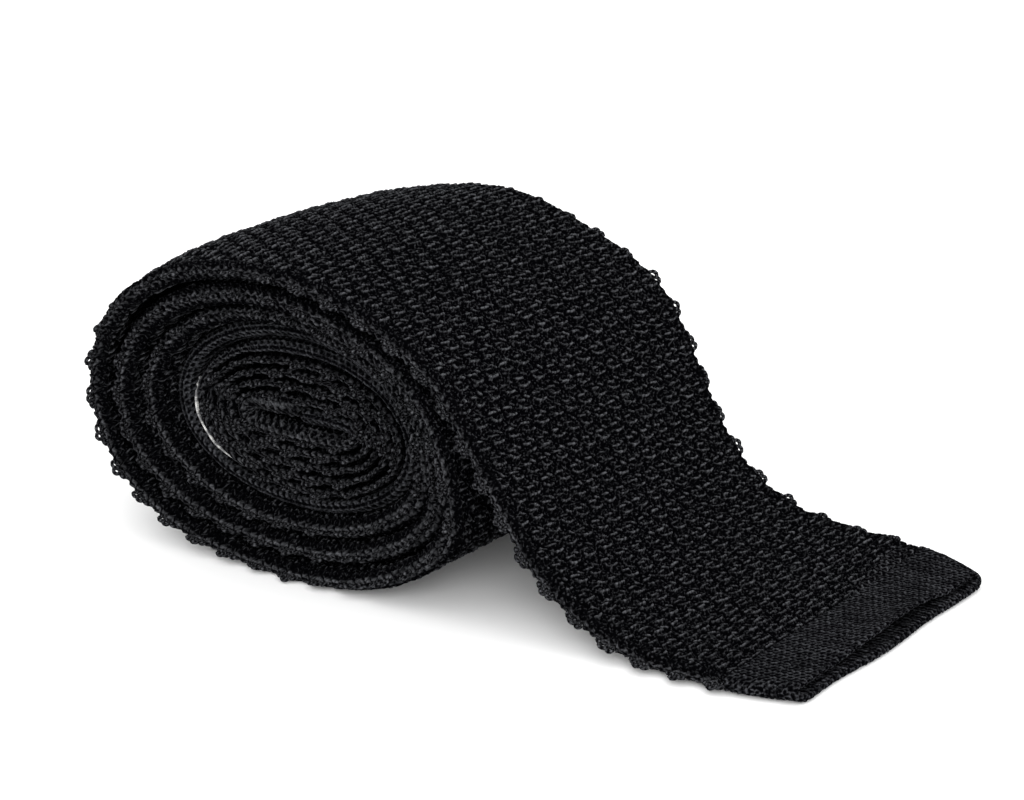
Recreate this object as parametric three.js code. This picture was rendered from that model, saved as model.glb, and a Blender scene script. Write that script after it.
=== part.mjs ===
// A knit tie, wound into a roll from its narrow end, with the wide end laid out flat in front of it.
// Millimetres, +Z up. The roll's axis is along Y and the laid-out end points along +X.
// The tie is a flat knitted tube, so each of its layers is two plies with a thin hollow between them.

import * as THREE from 'three';

// Widths of the tie, by the distance from the wide end.
const WIDTHS = [
  { at: 0, width: 51 },
  { at: 5, width: 55.5 },
  { at: 10, width: 59 },
  { at: 17, width: 60.5 },
  { at: 60, width: 60 },
  { at: 160, width: 60 },
  { at: 340, width: 56.5 },
  { at: 505, width: 51 },
  { at: 555, width: 48 },
  { at: 580, width: 41 },
  { at: 600, width: 39.5 },
  { at: 700, width: 38.5 },
  { at: 725, width: 43 },
  { at: 790, width: 44 },
];

// The cloth.
const PLY = 0.95;
const LEAST_HALF_HOLLOW = 0.09;
const FULL_THICKNESS = 3;
const NECK_THICKNESS = 2;
const FREE_THICKNESS = 2.5;
const MOUTH_THICKNESS = 3.3;
const MOUTH_FADE = 16;
const EDGE_ROUND = 1.3;
const EDGE_FLAT = 0.4;
const GAP = 0.3;

// The roll's outer turn, seen from the near face: the middle of the cloth at each clock angle.
// The clock runs from the side of the laid-out end over the top. x is from the roll's middle.
const OUTER_TURN = [
  { clock: 0, x: 34.9, z: 19.8 },
  { clock: 30, x: 28.3, z: 34.4 },
  { clock: 60, x: 16.3, z: 42.9 },
  { clock: 90, x: -1.7, z: 47.7 },
  { clock: 120, x: -21.2, z: 44.8 },
  { clock: 150, x: -34.5, z: 36.0 },
  { clock: 180, x: -39.4, z: 24.2 },
  { clock: 210, x: -35.5, z: 11.8 },
  { clock: 240, x: -21.2, z: 2.5 },
  { clock: 270, x: -1.6, z: -1.1 },
  { clock: 300, x: 19.2, z: 0.8 },
  { clock: 330, x: 34.2, z: 9.8 },
];

// The core, which is the turn that the loose outer turns are wound on, and the tight turns within it.
const LOOSE_TURNS = 4;
const CORE_X = -4.4;
const CORE_Z = 21.5;
const CORE_HALF_LENGTH = 21.4;
const CORE_HALF_HEIGHT = 12.3;
const CORE_SIDE_PITCH = 2;
const CORE_TOP_PITCH = 2;
const CORE_LABEL_ROOM = 0.9;
const CORE_SQUARENESS = 2.2;
const CORE_SQUARING_TURNS = 4;
const LAST_TURN = 9.25;
const STATIONS_PER_TURN = 28;

// The laid-out end: it leaves the roll, runs straight, bends up to level and lies on the surface.
const LEAVING_CLOCK = 24;
const STRAIGHT_RUN = 19;
const STRAIGHT_STEPS = 3;
const BEND_STEPS = 8;
const LEVEL_STEPS = 4;
const END_X = 89;

// Cloth that comes closer to the surface than this is pressed flat on it.
const FLATTENED_BELOW = 0.2;

// How far the stitch's change of thickness is spread out along the tie.
const THICKNESS_FADE = 6;

// Where the pieces meet, by the distance from the wide end.
const HEM_LENGTH = 12;
const NECK_START = 562;
const NECK_END = 708;
const TAIL_HEM_LENGTH = 10;

// The blank label, sewn to the back ply of the neck band.
const LABEL_WIDTH = 38.4;
const LABEL_THICKNESS = 0.4;
const LABEL_FIRST_CLOCK = 160;
const LABEL_LAST_CLOCK = 236;
const LABEL_TURN = 3;

const KNIT_COLOUR = 0x1b1c21;
const PLAIN_KNIT_COLOUR = 0x18191d;
const LABEL_COLOUR = 0xf6f5f1;

const FULL_TURN = 2 * Math.PI;

// The width of the tie at a distance from the wide end.
function widthAt(distance) {
  const after = WIDTHS.findIndex((row) => row.at > distance);
  if (after < 0) {
    return WIDTHS[WIDTHS.length - 1].width;
  }
  const low = WIDTHS[after - 1];
  const high = WIDTHS[after];
  return THREE.MathUtils.mapLinear(distance, low.at, high.at, low.width, high.width);
}

const outerCurve = new THREE.CatmullRomCurve3(
  OUTER_TURN.map((row) => new THREE.Vector3(row.x, 0, row.z)), true, 'catmullrom', 0.5);

// A point of the core's turns: an ellipse that squares up into a flat oval as it is wound tighter.
// Its first turn draws in on the label's side, which makes room for the label.
function corePoint(angle, coreTurns) {
  const inset = CORE_LABEL_ROOM / 2 * THREE.MathUtils.smoothstep(coreTurns, 0, 0.4);
  const halfLength = CORE_HALF_LENGTH - inset - coreTurns * CORE_SIDE_PITCH;
  const halfHeight = CORE_HALF_HEIGHT - coreTurns * CORE_TOP_PITCH;
  const squared = Math.tanh(CORE_SQUARENESS * Math.cos(angle)) / Math.tanh(CORE_SQUARENESS);
  const oval = (halfLength - halfHeight) * squared + halfHeight * Math.cos(angle);
  const ellipse = halfLength * Math.cos(angle);
  const squareness = THREE.MathUtils.clamp(coreTurns / CORE_SQUARING_TURNS, 0, 1);
  const x = CORE_X + inset + THREE.MathUtils.lerp(ellipse, oval, squareness);
  return new THREE.Vector3(x, 0, CORE_Z + halfHeight * Math.sin(angle));
}

// The middle of the cloth after a number of turns of winding, counted in from the outside.
function woundPoint(turns) {
  const angle = turns * FULL_TURN;
  const depth = THREE.MathUtils.clamp(turns / LOOSE_TURNS, 0, 1);
  const outer = outerCurve.getPoint(THREE.MathUtils.euclideanModulo(turns, 1));
  return outer.lerp(corePoint(angle, Math.max(turns - LOOSE_TURNS, 0)), depth);
}

// The laid-out end, from its mouth back to the point where it leaves the roll.
function laidOutPoints() {
  const leaving = LEAVING_CLOCK / 360;
  const start = woundPoint(leaving);
  const outward = woundPoint(leaving).sub(woundPoint(leaving + 0.01)).normalize();
  const slope = Math.atan2(-outward.z, outward.x);
  const straightEnd = start.clone().addScaledVector(outward, STRAIGHT_RUN);
  const level = FREE_THICKNESS / 2;
  const radius = (straightEnd.z - level) / (1 - Math.cos(slope));
  const levelX = straightEnd.x + radius * Math.sin(slope);
  const points = [];
  for (let step = 0; step < LEVEL_STEPS; step += 1) {
    const x = THREE.MathUtils.lerp(END_X, levelX, step / LEVEL_STEPS);
    points.push(new THREE.Vector3(x, 0, level));
  }
  for (let step = 0; step < BEND_STEPS; step += 1) {
    const angle = slope * step / BEND_STEPS;
    points.push(new THREE.Vector3(levelX - radius * Math.sin(angle), 0, level + radius * (1 - Math.cos(angle))));
  }
  for (let step = 0; step < STRAIGHT_STEPS; step += 1) {
    points.push(straightEnd.clone().lerp(start, step / STRAIGHT_STEPS));
  }
  return points;
}

// Stations along the middle of the cloth, from the wide end to the narrow end. Each has its
// point, its turns of winding, its distance from the wide end and the cloth's outward normal.
function makeStations() {
  const stations = laidOutPoints().map((point) => ({ point, turns: -1 }));
  for (let turns = LEAVING_CLOCK / 360; turns < LAST_TURN; turns += 1 / STATIONS_PER_TURN) {
    stations.push({ point: woundPoint(turns), turns });
  }
  stations.forEach((station, index) => {
    const before = stations[Math.max(index - 1, 0)].point;
    const after = stations[Math.min(index + 1, stations.length - 1)].point;
    const along = after.clone().sub(before).normalize();
    station.normal = new THREE.Vector3(along.z, 0, -along.x);
    station.distance = index === 0 ? 0 : stations[index - 1].distance + station.point.distanceTo(before);
  });
  return stations;
}

// What lies between a wound layer and the next one in: the gap, and the label where it is sewn on.
function clearanceInside(turns) {
  const first = LABEL_TURN + LABEL_FIRST_CLOCK / 360 - 1 / STATIONS_PER_TURN;
  const last = LABEL_TURN + LABEL_LAST_CLOCK / 360 + 1 / STATIONS_PER_TURN;
  return turns > first && turns < last ? LABEL_THICKNESS + 2 * GAP : GAP;
}

// The most that the cloth swells to when nothing presses it: the neck band's plain knit is thinner.
function looseThickness(distance) {
  const entering = THREE.MathUtils.smoothstep(distance, NECK_START - THICKNESS_FADE, NECK_START + THICKNESS_FADE);
  const leaving = THREE.MathUtils.smoothstep(distance, NECK_END - THICKNESS_FADE, NECK_END + THICKNESS_FADE);
  return THREE.MathUtils.lerp(FULL_THICKNESS, NECK_THICKNESS, entering - leaving);
}

// The thickness of the cloth: a wound layer fills the room that its two neighbours leave it.
function clothThickness(stations, index) {
  const station = stations[index];
  if (station.turns < 0) {
    const mouth = Math.max(1 - station.distance / MOUTH_FADE, 0);
    return FREE_THICKNESS + (MOUTH_THICKNESS - FREE_THICKNESS) * mouth * mouth;
  }
  const roomBeside = (neighbour, clearance) => {
    if (!neighbour || neighbour.turns < 0) {
      return FULL_THICKNESS;
    }
    return Math.abs(neighbour.point.clone().sub(station.point).dot(station.normal)) - clearance;
  };
  const outside = roomBeside(stations[index - STATIONS_PER_TURN], clearanceInside(station.turns - 1));
  const inside = roomBeside(stations[index + STATIONS_PER_TURN], clearanceInside(station.turns));
  return Math.min(looseThickness(station.distance), outside, inside);
}

// One flat tube section: the outline of the cloth and the outline of the hollow in it.
function makeSection(stations, index) {
  const { point, normal, distance } = stations[index];
  const half = widthAt(distance) / 2;
  const thick = stations[index].thickness / 2;
  const hollow = Math.max(thick - PLY, LEAST_HALF_HOLLOW);
  const shoulder = half - EDGE_ROUND;
  const hollowEdge = half - PLY;
  const hollowShoulder = half - 2 * EDGE_ROUND;
  const lift = point.z - thick < FLATTENED_BELOW && stations[index].turns < 0 ? thick - point.z : 0;
  const place = (sideways, outward) => {
    const corner = point.clone().addScaledVector(normal, outward);
    corner.y = sideways;
    corner.z += lift;
    corner.z = corner.z < FLATTENED_BELOW ? 0 : corner.z;
    return corner;
  };
  const outline = [
    place(-half, -thick * EDGE_FLAT), place(-shoulder, -thick), place(shoulder, -thick),
    place(half, -thick * EDGE_FLAT), place(half, thick * EDGE_FLAT), place(shoulder, thick),
    place(-shoulder, thick), place(-half, thick * EDGE_FLAT),
  ];
  const inside = [
    place(-hollowEdge, 0), place(-hollowShoulder, -hollow), place(hollowShoulder, -hollow),
    place(hollowEdge, 0), place(hollowShoulder, hollow), place(-hollowShoulder, hollow),
  ];
  return { distance, outline, inside };
}

// The section at any distance along the tie, on the straight line between two stations.
function sectionAt(sections, distance) {
  const after = Math.max(sections.findIndex((section) => section.distance >= distance), 1);
  const low = sections[after - 1];
  const high = sections[after];
  const share = (distance - low.distance) / (high.distance - low.distance);
  const blend = (name) => low[name].map((corner, index) => corner.clone().lerp(high[name][index], share));
  return { distance, outline: blend('outline'), inside: blend('inside') };
}

// The rim that closes the end of a tube, between its outline's corners, 0 to 7, and those of its
// hollow, 8 to 13. Each row is one flat face of the rim.
const RIM_FACES = [
  [0, 1, 9, 8], [1, 2, 10, 9], [2, 3, 11, 10], [3, 4, 11],
  [4, 5, 12, 11], [5, 6, 13, 12], [6, 7, 8, 13], [7, 0, 8],
];

function addRim(indices, firstCorner, flip) {
  RIM_FACES.forEach((face) => {
    for (let corner = 1; corner < face.length - 1; corner += 1) {
      const triangle = [face[0], face[corner], face[corner + 1]].map((index) => index + firstCorner);
      indices.push(...(flip ? triangle.reverse() : triangle));
    }
  });
}

// A stretch of the tie as one closed body: the outside, the hollow and the two open ends' rims.
function tubeGeometry(sections, from, to) {
  const between = sections.filter((section) => section.distance > from + GAP && section.distance < to - GAP);
  const rings = [sectionAt(sections, from), ...between, sectionAt(sections, to)];
  const outer = rings[0].outline.length;
  const inner = rings[0].inside.length;
  const perRing = outer + inner;
  const positions = rings.flatMap((ring) => [...ring.outline, ...ring.inside].flatMap((corner) => corner.toArray()));
  const indices = [];
  const addBand = (ring, first, count, flip) => {
    for (let corner = 0; corner < count; corner += 1) {
      const next = (corner + 1) % count;
      const a = ring * perRing + first + corner;
      const b = ring * perRing + first + next;
      const c = b + perRing;
      const d = a + perRing;
      indices.push(...(flip ? [a, b, c, a, c, d] : [a, c, b, a, d, c]));
    }
  };
  for (let ring = 0; ring < rings.length - 1; ring += 1) {
    addBand(ring, 0, outer, false);
    addBand(ring, outer, inner, true);
  }
  addRim(indices, 0, false);
  addRim(indices, (rings.length - 1) * perRing, true);
  const geometry = new THREE.BufferGeometry();
  geometry.setAttribute('position', new THREE.Float32BufferAttribute(positions, 3));
  geometry.setIndex(indices);
  geometry.computeVertexNormals();
  return geometry;
}

// The label: a thin sheet that follows the inside of the neck band across most of its width.
function labelGeometry(stations) {
  const first = LABEL_TURN + LABEL_FIRST_CLOCK / 360;
  const last = LABEL_TURN + LABEL_LAST_CLOCK / 360;
  const rows = stations.filter((station) => station.turns >= first && station.turns <= last);
  const positions = [];
  rows.forEach(({ point, normal, thickness }) => {
    const top = -thickness / 2 - GAP;
    [[-1, top], [1, top], [1, top - LABEL_THICKNESS], [-1, top - LABEL_THICKNESS]].forEach(([side, depth]) => {
      const corner = point.clone().addScaledVector(normal, depth);
      positions.push(corner.x, side * LABEL_WIDTH / 2, corner.z);
    });
  });
  const indices = [0, 3, 2, 0, 2, 1];
  for (let row = 0; row < rows.length - 1; row += 1) {
    for (let corner = 0; corner < 4; corner += 1) {
      const a = row * 4 + corner;
      const b = row * 4 + (corner + 1) % 4;
      indices.push(a, b, b + 4, a, b + 4, a + 4);
    }
  }
  const end = (rows.length - 1) * 4;
  indices.push(end, end + 1, end + 2, end, end + 2, end + 3);
  const geometry = new THREE.BufferGeometry();
  geometry.setAttribute('position', new THREE.Float32BufferAttribute(positions, 3));
  geometry.setIndex(indices);
  geometry.computeVertexNormals();
  return geometry;
}

const stations = makeStations();
stations.forEach((station, index) => {
  station.thickness = clothThickness(stations, index);
});
const sections = stations.map((station, index) => makeSection(stations, index));
const tieLength = sections[sections.length - 1].distance;

const ribbedKnit = new THREE.MeshStandardMaterial({ color: KNIT_COLOUR, roughness: 0.6, metalness: 0 });
const plainKnit = new THREE.MeshStandardMaterial({ color: PLAIN_KNIT_COLOUR, roughness: 0.65, metalness: 0 });
const satin = new THREE.MeshStandardMaterial({ color: LABEL_COLOUR, roughness: 0.4, metalness: 0 });

const group = new THREE.Group();

function addPiece(name, geometry, material) {
  const mesh = new THREE.Mesh(geometry, material);
  mesh.name = name;
  group.add(mesh);
}

const tailHemStart = tieLength - TAIL_HEM_LENGTH;
addPiece('blade_hem', tubeGeometry(sections, 0, HEM_LENGTH - GAP / 2), plainKnit);
addPiece('blade', tubeGeometry(sections, HEM_LENGTH + GAP / 2, NECK_START - GAP / 2), ribbedKnit);
addPiece('neck_band', tubeGeometry(sections, NECK_START + GAP / 2, NECK_END - GAP / 2), plainKnit);
addPiece('tail', tubeGeometry(sections, NECK_END + GAP / 2, tailHemStart - GAP / 2), ribbedKnit);
addPiece('tail_hem', tubeGeometry(sections, tailHemStart + GAP / 2, tieLength), plainKnit);
addPiece('label', labelGeometry(stations), satin);

// The origin is on the surface, under the middle of the tie's box.
const box = new THREE.Box3().setFromObject(group);
group.position.set(-(box.min.x + box.max.x) / 2, -(box.min.y + box.max.y) / 2, -box.min.z);

export default group;
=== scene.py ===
"""A knit tie wound into a roll, with its wide end laid out in front of it.

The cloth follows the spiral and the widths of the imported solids. What is added here is the knitting:
raised rings of yarn on the ribbed stretches, plain stitches on the hems and the neck band, small yarn
loops along both edges, and the open mouth of the wide end. Lengths in the tables are millimetres.
"""

import math

import bpy
import numpy as np
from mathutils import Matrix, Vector


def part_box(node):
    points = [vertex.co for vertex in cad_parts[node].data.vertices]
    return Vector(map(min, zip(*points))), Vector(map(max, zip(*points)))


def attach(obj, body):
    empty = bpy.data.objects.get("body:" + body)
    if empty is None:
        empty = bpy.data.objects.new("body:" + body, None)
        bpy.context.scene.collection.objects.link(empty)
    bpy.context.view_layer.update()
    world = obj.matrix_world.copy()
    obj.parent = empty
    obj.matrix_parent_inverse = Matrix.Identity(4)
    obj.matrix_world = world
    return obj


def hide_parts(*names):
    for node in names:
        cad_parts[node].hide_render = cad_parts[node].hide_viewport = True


bl_info = {
    "name": "Knit tie",
    "version": (1, 0, 0),
    "blender": (4, 5, 0),
    "location": "View3D > Sidebar > Knit tie",
    "description": "Builds a rolled knit tie with its stage and camera over the packed solids",
    "category": "Object",
}

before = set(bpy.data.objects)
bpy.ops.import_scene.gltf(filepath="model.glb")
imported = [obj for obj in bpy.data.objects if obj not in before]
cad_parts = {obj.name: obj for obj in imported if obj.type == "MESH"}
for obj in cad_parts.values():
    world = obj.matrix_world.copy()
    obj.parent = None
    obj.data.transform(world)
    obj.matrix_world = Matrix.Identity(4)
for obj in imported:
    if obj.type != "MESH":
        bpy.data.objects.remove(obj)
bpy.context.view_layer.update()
MM = 0.001

# Widths of the tie: distance from the wide end, width.
WIDTHS = np.array([
    (0, 51), (5, 55.5), (10, 59), (17, 60.5), (60, 60), (160, 60), (340, 56.5), (505, 51),
    (555, 48), (580, 41), (600, 39.5), (700, 38.5), (725, 43), (790, 44),
])

# The cloth.
FULL_THICKNESS = 3
NECK_THICKNESS = 2
FREE_THICKNESS = 2.5
MOUTH_THICKNESS = 3.3
MOUTH_FADE = 16
PLY = 0.95
GAP = 0.3
THICKNESS_FADE = 6

# The roll's outer turn, at every 30 degrees from the laid-out side over the top: x, z.
OUTER_TURN = np.array([
    (34.9, 19.8), (28.3, 34.4), (16.3, 42.9), (-1.7, 47.7), (-21.2, 44.8), (-34.5, 36.0),
    (-39.4, 24.2), (-35.5, 11.8), (-21.2, 2.5), (-1.6, -1.1), (19.2, 0.8), (34.2, 9.8),
])

# The core that the loose outer turns are wound on.
LOOSE_TURNS = 4
CORE_X = -4.4
CORE_Z = 21.5
CORE_HALF_LENGTH = 21.4
CORE_HALF_HEIGHT = 12.3
CORE_SIDE_PITCH = 2
CORE_TOP_PITCH = 2
CORE_LABEL_ROOM = 0.9
CORE_LABEL_TURNS = 0.4
CORE_SQUARENESS = 2.2
CORE_SQUARING_TURNS = 4
LAST_TURN = 9.245

# The laid-out end.
LEAVING_TURN = 24 / 360
STRAIGHT_RUN = 19
END_X = 89

# Where the pieces meet, by the distance from the wide end.
HEM_LENGTH = 12
NECK_START = 562
NECK_END = 708
TAIL_HEM_LENGTH = 10

# The blank label on the inside of the neck band.
LABEL_WIDTH = 38.4
LABEL_THICKNESS = 0.4
LABEL_FIRST_TURN = 3 + 13 / 28
LABEL_LAST_TURN = 3 + 18 / 28

# The turns between which the cloth is pressed thinner to leave the label room.
ROOM_FIRST_TURN = 3 + 160 / 360 - 1 / 28
ROOM_LAST_TURN = 3 + 236 / 360 + 1 / 28

# How far the label slips towards the near side: share of its length, slip.
LABEL_SLIP = np.array([(0, 0.8), (0.4, 2.0), (0.75, 2.2), (1, 1.3)])

# From this share of the half width on the far edge curls up.
LIFT_FROM = 0.4

# How both edges waver together, stitch by stitch: height and size of each wander.
EDGE_WAVERS = [(0.25, 9), (0.12, 2.6)]

# How the cloth's edges stand off the solids': distance from the wide end, near edge's spread, far
# edge's spread, far edge's lift, and the slip of the whole width towards the near side.
EDGE_SPREAD = np.array([
    (0, 1.3, 1.5, 0.1, 0), (6, 0.7, 1.9, 0.2, 0), (12, 0.2, 2.0, 0.3, 0), (20, 0.1, 2.8, 0.5, 0),
    (27, 0.4, 2.2, 0.4, 0), (34, 0.4, 0.7, 0.1, 0), (40, -0.1, 0, 0, 0), (48, 0, -0.2, 0, 0),
    (56, 0, 0.3, 0.1, 0), (62, 0, 1.3, 0.3, 0), (70, 0.1, 2.2, 0.5, 0), (78, 0.3, 2.0, 0.4, 0),
    (88, 0.6, 1.7, 0, 0), (94, 0.9, 1.2, 0, 0), (100, 1.2, 1.6, 0, 0), (110, 1.6, 2.2, 0, 0),
    (130, 2.1, 1.4, 0, 0), (140, 2.2, 1.2, 0, 0), (150, 1.2, 1, 0, 0), (165, 1.3, 1, 0, 0),
    (174, 2.4, 0.8, 0, 0), (220, 2.7, 0.6, 0, 0), (300, 1.6, 0, 0, 0), (440, 1.0, 0, 0, 0),
    (500, 0.8, 0, 0, 0), (562, 1.5, 0, 0, 0.2), (600, 2.4, 0, 0, 0.5), (680, 2.8, 0, 0, 0.5),
    (700, 2.9, 0, 0, 0.5), (712, 1.8, 0, 0, 0.5), (725, 0.7, 0, 0, 0.5), (1100, 0.3, 0, 0, 0.5),
])

# The outer turn is fuller than the solid: distance from the wide end, fullness; its share of that
# from the near edge to the far one: share of the half width, share of the fullness; and the near
# edge's share alone, which the layers beside it make use of.
FULLNESS = np.array([(88, 0), (112, 0.8), (128, 2.4), (150, 2.3), (172, 1.3), (190, 0)])
FULL_ACROSS = np.array([
    (-1, 0.38), (-0.9, 0.62), (-0.74, 0.85), (-0.5, 1), (0, 1), (0.28, 0.9), (0.74, 0.55), (1, 0),
])
EDGE_FULLNESS = FULL_ACROSS[0, 1]

# Near its edges, from this share of the half width on, a loosely wound layer swells into what is
# free beside it.
FILLING_FROM = 0.8
MOST_FILLING = 1.0

# The last turn closes its own slot: distance from the narrow end, how far the inner face swells.
SLOT_LENGTH = 50
SLOT_FILLING = np.array([
    (0, 0.9), (4, 0.9), (8, 0.7), (14, 0.7), (20, 0.9), (28, 1.3), (34, 1.1), (38, 1.6), (44, 2.4),
    (49, 2.4), (51, 0),
])

# The camera: its place, the way it looks, its lens, the width of its sensor, and how near and how far
# it sees, in metres.
CAMERA_PLACE = (248.6, -359.5, 172.3)
CAMERA_AZIMUTH = 35.133
CAMERA_ELEVATION = 18.638
CAMERA_LENS = 105.75
CAMERA_SENSOR = 36
CAMERA_CLIP = (0.01, 50)

# The stage, in metres: half the floor's side, and the place and side of the lamp in front.
FLOOR_HALF = 4
LAMP_PLACE = (0.62, -0.95, 0.5)
LAMP_SIDE = 0.8

# Samples of the path: in one turn, and on the level, the bent and the straight part before it. Then
# the samples for the mean width of a stretch.
PATH_SAMPLES = 360
LEVEL_SAMPLES = 40
BEND_SAMPLES = 80
STRAIGHT_SAMPLES = 30

# The part of a turn over which the path's direction is taken, and the samples on either side that a
# thickness is averaged with.
DIRECTION_STEP = 0.01
SMOOTHING = 7

# What 1 on the cloth's map stands for in millimetres, and the sizes of the patterns that are laid out
# on it: the yarn's streaks of painted highlight, the threads of the satin and its blotches of painted
# shade.
MAP_UNIT = 100
PAINTED_HIGHLIGHT_LENGTH = 0.42
THREAD_SPACING = 0.35
SHADE_PATCH_SIZE = 2.4


def smoothstep(value, low, high):
    """0 below low, 1 above high, and the smooth cubic 3t^2 - 2t^3 between them."""
    t = np.clip((value - low) / (high - low), 0, 1)
    return t * t * (3 - 2 * t)


def look_up(table, value, column=1):
    """A column of a table, in a straight line from row to row, at a value of its first column."""
    return np.interp(value, table[:, 0], table[:, column])


def outer_point(turns):
    """The outer turn's x and z: a closed Catmull-Rom curve through OUTER_TURN."""
    count = len(OUTER_TURN)
    at = np.mod(turns, 1) * count
    first = np.floor(at).astype(int)
    t = (at - first)[:, None]
    before, low, high, after = (OUTER_TURN[(first + step) % count] for step in (-1, 0, 1, 2))
    leave, arrive = (high - before) / 2, (after - low) / 2
    square = -3 * low + 3 * high - 2 * leave - arrive
    cube = 2 * low - 2 * high + leave + arrive
    return low + leave * t + square * t ** 2 + cube * t ** 3


def core_point(turns):
    """The core's x and z: an ellipse that squares up into a flat oval as it is wound tighter.

    The flat oval's x is a hyperbolic tangent of the cosine, which keeps its two ends round.
    """
    angle = turns * 2 * math.pi
    core_turns = np.maximum(turns - LOOSE_TURNS, 0)
    inset = CORE_LABEL_ROOM / 2 * smoothstep(core_turns, 0, CORE_LABEL_TURNS)
    half_length = CORE_HALF_LENGTH - inset - core_turns * CORE_SIDE_PITCH
    half_height = CORE_HALF_HEIGHT - core_turns * CORE_TOP_PITCH
    squared = np.tanh(CORE_SQUARENESS * np.cos(angle)) / math.tanh(CORE_SQUARENESS)
    oval = (half_length - half_height) * squared + half_height * np.cos(angle)
    share = np.clip(core_turns / CORE_SQUARING_TURNS, 0, 1)
    x = CORE_X + inset + half_length * np.cos(angle) * (1 - share) + oval * share
    return np.stack([x, CORE_Z + half_height * np.sin(angle)], axis=-1)


def wound_point(turns):
    """The middle of the cloth after some turns: the outer turn blended into the core's by depth."""
    depth = np.clip(turns / LOOSE_TURNS, 0, 1)[:, None]
    return outer_point(turns) * (1 - depth) + core_point(turns) * depth


def laid_out_points():
    """The laid-out end: level, then an arc that bends up, then straight to where it leaves the roll."""
    start, beyond = wound_point(np.array([LEAVING_TURN, LEAVING_TURN + DIRECTION_STEP]))
    outward = (start - beyond) / np.linalg.norm(start - beyond)
    slope = math.atan2(-outward[1], outward[0])
    straight_end = start + outward * STRAIGHT_RUN
    level = FREE_THICKNESS / 2
    radius = (straight_end[1] - level) / (1 - math.cos(slope))
    level_x = straight_end[0] + radius * math.sin(slope)
    flat = np.linspace(END_X, level_x, LEVEL_SAMPLES, endpoint=False)
    bend = np.linspace(0, slope, BEND_SAMPLES, endpoint=False)
    run = np.linspace(0, 1, STRAIGHT_SAMPLES, endpoint=False)[:, None]
    return np.concatenate([
        np.stack([flat, np.full_like(flat, level)], axis=-1),
        np.stack([level_x - radius * np.sin(bend), level + radius * (1 - np.cos(bend))], axis=-1),
        straight_end + (start - straight_end) * run,
    ])


class TiePath:
    """The middle line of the cloth from the wide end to the narrow end, sampled closely."""

    def __init__(self):
        laid_out = laid_out_points()
        turns = np.arange(LEAVING_TURN, LAST_TURN, 1 / PATH_SAMPLES)
        self.points = np.concatenate([laid_out, wound_point(turns)])
        self.turns = np.concatenate([np.linspace(-1, LEAVING_TURN, len(laid_out), endpoint=False), turns])
        self.wound = np.arange(len(self.points)) >= len(laid_out)
        steps = np.linalg.norm(np.diff(self.points, axis=0), axis=1)
        self.distance = np.concatenate([[0], np.cumsum(steps)])
        along = np.gradient(self.points, axis=0)
        along /= np.linalg.norm(along, axis=1, keepdims=True)
        self.normals = np.stack([along[:, 1], -along[:, 0]], axis=-1)
        self.thickness = self.cloth_thickness()
        self.length = self.distance[-1]
        # The solids are centred, and the hem's highest x is the mouth of the laid-out end.
        self.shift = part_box("blade_hem")[1][0] / MM - END_X
        full = EDGE_FULLNESS * look_up(FULLNESS, self.distance)
        self.free_outside = self.free_beside(-PATH_SAMPLES, np.roll(full, PATH_SAMPLES))
        self.free_inside = self.free_beside(PATH_SAMPLES, full)

    def room_beside(self, step, alone):
        """The distance to the next layer in or out along the normal, less what is kept clear.

        Where there is no such layer it is the value given as alone.
        """
        room = alone + GAP + np.zeros(len(self.points))
        index = np.arange(len(self.points))
        other = index + step
        ok = (other >= 0) & (other < len(index)) & self.wound
        ok[ok] &= self.wound[other[ok]]
        apart = self.points[other[ok]] - self.points[index[ok]]
        room[ok] = np.abs((apart * self.normals[index[ok]]).sum(axis=1))
        outer_layer = self.turns - (1 if step < 0 else 0)
        label = (outer_layer > ROOM_FIRST_TURN) & (outer_layer < ROOM_LAST_TURN)
        return room - GAP - np.where(label, LABEL_THICKNESS + GAP, 0)

    def cloth_thickness(self):
        """A wound layer fills the room that its neighbours leave it, up to its loose thickness."""
        mouth = np.maximum(1 - self.distance / MOUTH_FADE, 0)
        free = FREE_THICKNESS + (MOUTH_THICKNESS - FREE_THICKNESS) * mouth ** 2
        neck = (smoothstep(self.distance, NECK_START - THICKNESS_FADE, NECK_START + THICKNESS_FADE)
                - smoothstep(self.distance, NECK_END - THICKNESS_FADE, NECK_END + THICKNESS_FADE))
        loose = FULL_THICKNESS + (NECK_THICKNESS - FULL_THICKNESS) * neck
        pressed = np.minimum(self.room_beside(-PATH_SAMPLES, FULL_THICKNESS),
                             self.room_beside(PATH_SAMPLES, FULL_THICKNESS))
        thickness = np.where(self.wound, np.minimum(loose, pressed), free)
        count = 2 * SMOOTHING + 1
        return np.convolve(np.pad(thickness, SMOOTHING, mode="edge"), np.ones(count) / count, mode="valid")

    def free_beside(self, step, full):
        """Half of what stays free between a layer and the next one in or out, for the edges to fill."""
        free = self.room_beside(step, self.thickness) - self.thickness
        return np.clip((free + np.where(self.wound, full, 0)) / 2, 0, MOST_FILLING)

    def at(self, distance):
        """Middle point, outward normal, thickness and width at distances from the wide end."""
        columns = (*self.points.T, *self.normals.T, self.thickness)
        x, z, normal_x, normal_z, thickness = (np.interp(distance, self.distance, c) for c in columns)
        return x + self.shift, z, normal_x, normal_z, thickness, look_up(WIDTHS, distance)

    def free_at(self, distance):
        """What stays free for the edges to fill, outside and inside, at distances from the wide end."""
        slot = look_up(SLOT_FILLING, self.length - distance)
        return (np.interp(distance, self.distance, self.free_outside),
                np.maximum(np.interp(distance, self.distance, self.free_inside), slot))

    def distance_at(self, turns):
        """The distance from the wide end at a number of turns."""
        return float(np.interp(turns, self.turns, self.distance))


PATH = TiePath()

# The knitting. A leg is one short stretch of yarn on the face of the cloth, a rounded ridge from one
# point to another: along the tie and across it, from the middle of its stitch, then how high it stands.
COURSE = 1.506
WALE = 1.92

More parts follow.
